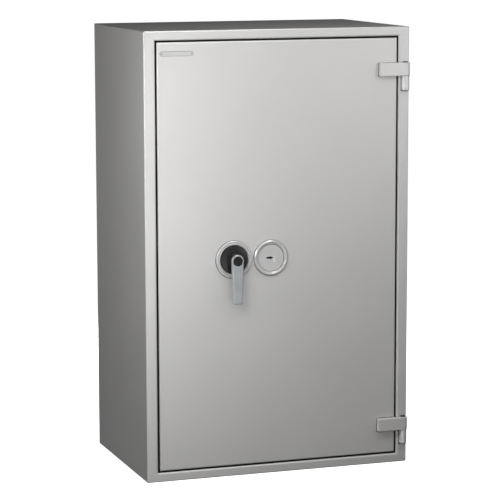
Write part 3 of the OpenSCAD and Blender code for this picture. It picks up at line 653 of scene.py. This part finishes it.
# ---------------------------------------------------------------- hinges
def make_hinges():
    for arm in ARMS:
        low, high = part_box(arm)
        r = high.x - HINGE.x
        back = Y0 - 0.15 * MM
        start = math.degrees(math.asin((back - HINGE.y) / r))
        knuckle = arc(HINGE.x, HINGE.y, r, -90, 180 - start, 40)
        outline = [(low.x, back), (low.x, low.y)] + knuckle
        radii = [0.6 * MM, 2.4 * MM] + [0] * len(knuckle)
        outline = rounded(outline, radii, 6)
        o = loose(arm.replace("arm", "leaf_arm"), up_slab(outline, low.z, high.z, 1.9 * MM, 6))
        finish_piece(o, "door", arm_paint_painted_light, (arm,))
        # black pin cap: a cap, and also painted shade for the dark slit above the arm
        z_low, z_high = high.z - 0.5 * MM, high.z + CAP_H
        cap = rounded([(0, z_low), (CAP_R, z_low), (CAP_R, z_high), (0, z_high)], [0, 0, 0.4 * MM, 0], 4)
        o = loose(arm.replace("arm", "pin_cap"), lathe(cap, upright(HINGE.x, HINGE.y), 64))
        finish_piece(o, "door", seal_black)
        # thin black plate under the arm, standing out round it: a painted shadow along the arm's edges
        x_low, x_high = low.x - 0.8 * MM, leaf_high.x - 3 * MM
        z_low, z_high = low.z - 0.8 * MM, high.z + 0.5 * MM
        arm_shadow_plate = [(x_low, z_low), (x_high, z_low), (x_high, z_high), (x_low, z_high)]
        arm_shadow_plate = rounded(arm_shadow_plate, [1.2 * MM] * 4, 4)
        o = loose(arm.replace("arm", "arm_shadow_plate"), front_slab(arm_shadow_plate, Y0 + MM, Y0 - 0.6 * MM, 0.2 * MM, 0, 2))
        finish_piece(o, "door", seal_black)
    low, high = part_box("hinge_barrels")
    r = (high.x - low.x) / 2
    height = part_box("hinge_washers")[0].z - low.z
    for side, z in (("lower", low.z), ("upper", high.z - height)):
        profile = rounded([(0, z), (r, z), (r, z + height), (0, z + height)],
                          [0, 3.6 * MM, 0.5 * MM, 0], 8)
        o = loose("hinge_barrel_" + side, lathe(profile, upright(HINGE.x, HINGE.y), 72))
        finish_piece(o, "cabinet", barrel_paint_painted_highlight, ("hinge_barrels",))


make_hinges()


# ---------------------------------------------------------------- lever set
def painted_shadow_ring(name, centre, r_out, r_in):
    """Thin black ring under a ring, standing out of it by a hair: a painted shadow round the ring's rim."""
    r, t = r_out + 0.7 * MM, 0.9 * MM
    section = rounded([(r_in, -0.5 * MM), (r, -0.5 * MM), (r, t), (r_in, t)], [0, 0, 0.3 * MM, 0], 3)
    o = loose(name, lathe(section, facing(centre, Y0), 128))
    finish_piece(o, "door", seal_black)


def make_lever_set():
    low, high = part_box("handle_lever")
    ring_low, ring_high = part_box("handle_rosette")
    r_out = (ring_high.x - ring_low.x) / 2
    tall = ring_high.y - ring_low.y
    r_in = r_out - 9.45 * MM
    ring = [(r_in, 0), (r_in, 3.3 * MM), (r_in + 0.9 * MM, 4.5 * MM), (r_in + 1.6 * MM, tall),
            (r_in + 4.2 * MM, tall), (r_in + 4.9 * MM, tall - 1.7 * MM), (r_in + 5.8 * MM, tall - 1.7 * MM),
            (r_in + 6.4 * MM, tall - 0.35 * MM), (r_out - 1.2 * MM, tall - 0.6 * MM),
            (r_out, 2.6 * MM), (r_out, 0)]
    radii = [0, 0.3 * MM, 0.4 * MM, 0.5 * MM, 0.4 * MM, 0.2 * MM, 0.2 * MM, 0.5 * MM, 1.3 * MM, 1.0 * MM, 0]
    painted_shadow_ring("lever_painted_shadow_ring", HANDLE, r_out, r_in + MM)
    o = loose("lever_ring", lathe(rounded(ring, radii, 4), facing(HANDLE, Y0), 160))
    finish_piece(o, "door", ring_silver, ("handle_rosette",), 40)

    rotor_low, rotor_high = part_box("rotor_disc")
    r = (rotor_high.x - rotor_low.x) / 2
    foot = Y0 - rotor_high.y
    neck_h = Y0 - high.y
    dome = [(0, foot), (r, foot), (r, foot + 1.6 * MM), (r - 1.2 * MM, foot + 3.0 * MM)]
    for i in range(1, 9):
        t = i / 8
        rise = 1.5 * MM * math.sin(t * math.pi / 2)
        dome.append((r - 1.2 * MM - (r - 15.2 * MM) * t, foot + 3.0 * MM + rise))
    dome += [(12.9 * MM, foot + 4.6 * MM), (12.5 * MM, foot + 5.4 * MM), (12.5 * MM, neck_h), (0, neck_h)]
    radii = [0, 0.3 * MM, 0.8 * MM, 1.0 * MM] + [0] * 8 + [0.6 * MM, 0.6 * MM, 0, 0]
    o = loose("rotor", lathe(rounded(dome, radii, 4), facing(HANDLE, Y0), 160))
    finish_piece(o, "handle", rotor_black, ("rotor_disc",), 40)

    head, tip = (high.x - low.x) / 2, 10.3 * MM
    z_axis = HANDLE.z
    down = z_axis - low.z
    lean = math.degrees(math.atan2(head - tip, down))
    outline = arc(HANDLE.x, z_axis, head, -lean, 180 + lean, 56)
    corners = [(HANDLE.x - tip, low.z), (HANDLE.x + tip, low.z)]
    outline = rounded(outline + corners, [0] * len(outline) + [3.0 * MM, 3.0 * MM], 6)
    plate = loose("lever", front_slab(outline, high.y, low.y, 2.2 * MM, 1.2 * MM, 6))
    cap_low, cap_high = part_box("hub_cap")
    r_cap = (cap_high.x - cap_low.x) / 2 + 0.25 * MM
    depth = cap_high.y - low.y
    groove = [(0, -depth), (r_cap, -depth), (r_cap, -0.7 * MM), (r_cap + 0.7 * MM, 0.2 * MM), (0, 0.2 * MM)]
    cut(plate, lathe(groove, facing(HANDLE, low.y), 96))
    finish_piece(plate, "handle", lever_silver, ("handle_lever",), 40)

    r = (cap_high.x - cap_low.x) / 2
    proud = low.y - cap_low.y
    cap = rounded([(0, -depth), (r, -depth), (r, 0.1 * MM), (r - 1.3 * MM, proud), (0, proud + 0.0001 * MM)],
                  [0, 0, 0.3 * MM, 0.8 * MM, 0], 5)
    o = loose("lever_cap", lathe(cap, facing(HANDLE, low.y), 96))
    finish_piece(o, "handle", cap_black, ("hub_cap",), 40)


make_lever_set()


# ---------------------------------------------------------------- key escutcheon
def key_outline(round_r, left, right, n=10):
    """Keyhole round (0, 0): a round middle and two bits, each given as (reach, half height)."""
    (w0, h0), (w1, h1) = left, right
    a0, a1 = (math.degrees(math.asin(h / round_r)) for h in (h0, h1))
    pts = [(w1, -h1), (w1, h1)] + arc(0, 0, round_r, a1, 180 - a0, n)
    pts += [(-w0, h0), (-w0, -h0)] + arc(0, 0, round_r, 180 + a0, 360 - a1, n)
    radii = [0.4 * MM] * 2 + [0] * (n + 1) + [0.8 * MM] * 2 + [0] * (n + 1)
    return rounded(pts, radii, 3)


def make_escutcheon():
    low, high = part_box("key_rosette")
    r_out, tall = (high.x - low.x) / 2, high.y - low.y
    disc_low, disc_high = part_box("key_plate")
    r_in, disc_t = (disc_high.x - disc_low.x) / 2, disc_high.y - disc_low.y
    ring = [(r_in + 0.9 * MM, 0), (r_in + 0.9 * MM, disc_t + 0.9 * MM), (r_in + 1.6 * MM, disc_t + 1.5 * MM),
            (r_in + 3.6 * MM, disc_t + 1.7 * MM), (r_in + 4.4 * MM, tall - 0.5 * MM), (r_in + 5.6 * MM, tall),
            (r_out - 2.4 * MM, tall), (r_out - 0.4 * MM, tall - 2.2 * MM), (r_out, 1.2 * MM), (r_out, 0)]
    radii = [0, 0.3 * MM, 0.5 * MM, 0.5 * MM, 0.4 * MM, 1.0 * MM, 1.6 * MM, 1.6 * MM, 0.8 * MM, 0]
    painted_shadow_ring("key_painted_shadow_ring", KEY, r_out, r_in - 0.5 * MM)
    o = loose("key_ring", lathe(rounded(ring, radii, 5), facing(KEY, Y0), 160))
    finish_piece(o, "door", key_silver, ("key_rosette",), 40)

    disc = rounded([(0, 0), (r_in, 0), (r_in, disc_t), (0, disc_t)], [0, 0, 0.35 * MM, 0], 4)
    o = loose("key_disc", lathe(disc, facing(KEY, Y0), 128))
    hole = key_outline(3.2 * MM, (10.6 * MM, 2.2 * MM), (6.4 * MM, 0.9 * MM))
    outer = [(KEY.x + x, KEY.z + z) for x, z in hole]
    flare = 0.5 * MM
    bm = bmesh.new()
    wide = inset(outer, -flare)
    loops = [(outer, Y0 + 5 * MM), (outer, disc_low.y + flare), (wide, disc_low.y - 0.02 * MM)]
    stack(bm, [[(x, y, z) for x, z in pts] for pts, y in loops])
    cut(o, bm)
    finish_piece(o, "door", disc_silver, ("key_plate",), 30)


make_escutcheon()


# ---------------------------------------------------------------- blank name plate
def make_name_plate():
    low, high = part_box("name_plate")
    r = (high.z - low.z) / 2
    cx, cz = (low.x + high.x) / 2, (low.z + high.z) / 2
    half = (high.x - low.x) / 2 - r
    outline = arc(cx + half, cz, r, -90, 90, 16) + arc(cx - half, cz, r, 90, 270, 16)
    o = loose("name_plate_blank", front_slab(outline, high.y, low.y, 0.35 * MM, 0, 3))
    inner = inset(outline, 1.3 * MM)
    field = front_slab(inner, low.y + 0.3 * MM, low.y - 1 * MM, 0.01 * MM, 0, 1)
    cut(o, field)
    finish_piece(o, "door", badge_silver, ("name_plate",), 30)
    # thin black rim under the plate, standing out round it: a painted shadow round the plate
    rim = inset(outline, -0.6 * MM)
    shadow_rim = front_slab(rim, high.y + 0.3 * MM, high.y - 0.4 * MM, 0.1 * MM, 0, 2)
    finish_piece(loose("name_plate_shadow_rim", shadow_rim), "door", seal_black)
    face, sunk, proud = low.y + 0.3 * MM, -0.3 * MM, 0.3 * MM
    head = [(0, sunk), (1.4 * MM, sunk), (1.4 * MM, 0.1 * MM), (0.9 * MM, proud), (0, proud)]
    for side, x in (("left", cx - half - MM), ("right", cx + half + MM)):
        o = loose("name_plate_rivet_" + side, lathe(head, facing(Vector((x, 0, cz)), face), 32))
        finish_piece(o, "door", lock_steel)


make_name_plate()

# ---------------------------------------------------------------- the CAD nodes that stay in sight
OTHER_EDGE = 0.3        # rounding in mm of the nodes that EDGE and FLUSH don't name
EDGE = {                # rounding in mm
    "back_panel": 0.6, "frame_left": 0.8, "frame_right": 0.8, "frame_top": 0.8, "frame_bottom": 0.8,
    "inner_liner": 0.8, "shelves": 0.9, "shelf_rails": 0.25, "shelf_clips": 0.4, "door_cover": 1.2,
    "bolt_case": 0.8, "door_base_plate": 0.8, "side_bolts": 1.2, "top_bolt": 1.0, "bottom_bolt": 1.0,
    "dog_bolts": 1.2, "bolt_guides": 0.4, "cover_screws": 0.35, "bolt_bar": 0.5, "lock_case": 0.4,
    "lock_cover": 0.3, "handle_spindle": 0.3, "cam_disc": 0.3, "bolt_cups": 0.2,
}
# nodes that keep the CAD's edges
FLUSH = ("hinge_pins", "hinge_washers", "lock_core", "key_guide", "spindle_bush", "frame_seal", "door_seal")
slots = {s["node"]: s["material_slot"] for s in frame["record"]["subparts"]}
for node, o in frame["nodes"].items():
    if o.hide_render:
        continue
    material = FINISH[slots[node]]
    if node in ("top_bolt", "bottom_bolt", "hinge_pins"):
        material = drawn_z
    if node in ("lock_core", "key_guide"):
        material = lock_steel
    if node == "hinge_washers":
        material = zinc_plate
    o.data.materials.clear()
    o.data.materials.append(material)
    weld = o.modifiers.new("weld", "WELD")
    weld.merge_threshold = 1e-5
    flat = o.modifiers.new("flat", "DECIMATE")
    flat.decimate_type, flat.angle_limit = "DISSOLVE", math.radians(0.5)
    if node not in FLUSH:
        soften(o, EDGE.get(node, OTHER_EDGE) * MM)
    normals = o.modifiers.new("normals", "WEIGHTED_NORMAL")
    normals.keep_sharp = True


# ---------------------------------------------------------------- studio
def make_floor():
    bm = bmesh.new()
    bmesh.ops.create_circle(bm, cap_ends=True, segments=96, radius=60.0)
    for v in bm.verts:
        v.co.z = Z0
    o = loose("floor", bm)
    m, _, bsdf = shader("floor_white", (0.86, 0.86, 0.86), 0.0, 0.9, specular=0.1)
    bsdf.inputs["Emission Color"].default_value = (1, 1, 1, 1)
    bsdf.inputs["Emission Strength"].default_value = 1.0
    o.data.materials.append(m)
    o.visible_diffuse = False
    o.visible_glossy = False


def area(name, at, towards, size, power, does):
    """A round soft light."""
    data = bpy.data.lights.new(name, "AREA")
    data.shape = "DISK"
    data.size = size
    data.energy = power
    o = bpy.data.objects.new(name, data)
    scene.collection.objects.link(o)
    o.location = at
    o.rotation_euler = (Vector(towards) - Vector(at)).to_track_quat("-Z", "Y").to_euler()
    o.visible_camera = False
    o.visible_glossy = does != "lit"
    o.visible_diffuse = does != "shine"


WORLD = 0.02                    # plain light from all round
GLOSS_FROM = (-0.45, -0.8, 0.4)     # the side that shiny surfaces find brightest
GLOSS_WORLD = (0.01, 0.36)      # what they reflect, from the far side to that side
GLOSS_ABOVE = 0.4               # and what they reflect straight overhead
DOOR = (-0.05, -0.20, 0.60)
BODY = (0.0, 0.10, 0.50)
# name, place, aim, size, power, and what it does: "lit" only lights, "shine" only shows in shiny surfaces
LIGHTS = [
    ("top_front", (0.0, -0.9, 1.45), DOOR, 0.5, 3.5, "both"),
    ("front_right", (1.5, -2.2, 0.8), DOOR, 0.8, 6.5, "both"),
    ("floor_bounce", (-0.3, -1.2, 0.15), DOOR, 0.9, 2.5, "both"),
    ("key", (-0.6, -0.7, 0.9), DOOR, 0.4, 4.0, "lit"),
    ("edge_high", (-0.36, -0.75, 0.95), (-0.36, -0.2, 0.9), 0.3, 0.7, "lit"),
    ("edge_low", (-0.33, -0.7, 0.5), (-0.33, -0.2, 0.5), 0.3, 0.6, "lit"),
    ("right_high", (0.8, -0.7, 1.2), DOOR, 0.5, 3.5, "lit"),
    ("left_side", (-2.4, -0.2, 0.7), DOOR, 0.9, 15.0, "lit"),
    ("right_side", (2.4, 0.5, 0.75), BODY, 0.6, 13.0, "lit"),
    ("back", (0.0, 1.9, 0.62), BODY, 0.5, 25.0, "both"),
    ("rim_left", (-2.2, -0.7, 1.2), DOOR, 0.4, 15.0, "shine"),
    ("rim_top", (0.4, -0.9, 2.6), DOOR, 0.4, 15.0, "shine"),
]


def make_world():
    world = bpy.data.worlds.new("studio")
    scene.world = world
    world.use_nodes = True
    nt = world.node_tree
    nt.nodes.clear()
    way = add(nt, "TexCoord", out=GENERATED)
    ahead = add(nt, "VectorMath", out=DOT, operation="DOT_PRODUCT", i0=way, i1=GLOSS_FROM)
    ahead = add(nt, "Math", operation="POWER", i0=spread(nt, ahead, 0.0, 1.0, -1.0, 1.0), i1=2.4)
    above = spread(nt, add(nt, "SeparateXYZ", out=2, Vector=way), 0.0, GLOSS_ABOVE, 0.65, 0.95)
    bright = add(nt, "Math", operation="ADD", i0=spread(nt, ahead, *GLOSS_WORLD, 0.0, 1.0), i1=above)
    lit = add(nt, "Background", Color=(1, 1, 1, 1), Strength=WORLD)
    mirrored = add(nt, "Background", Color=(1, 1, 1, 1), Strength=bright)
    seen = add(nt, "Background", Color=(1, 1, 1, 1), Strength=1.0)
    path = nt.nodes.new("ShaderNodeLightPath")
    mix = add(nt, "MixShader", i0=path.outputs["Is Glossy Ray"], i1=lit, i2=mirrored)
    mix = add(nt, "MixShader", i0=path.outputs["Is Camera Ray"], i1=mix, i2=seen)
    nt.links.new(mix, nt.nodes.new("ShaderNodeOutputWorld").inputs[0])


make_floor()
make_world()
for light in LIGHTS:
    area(*light)
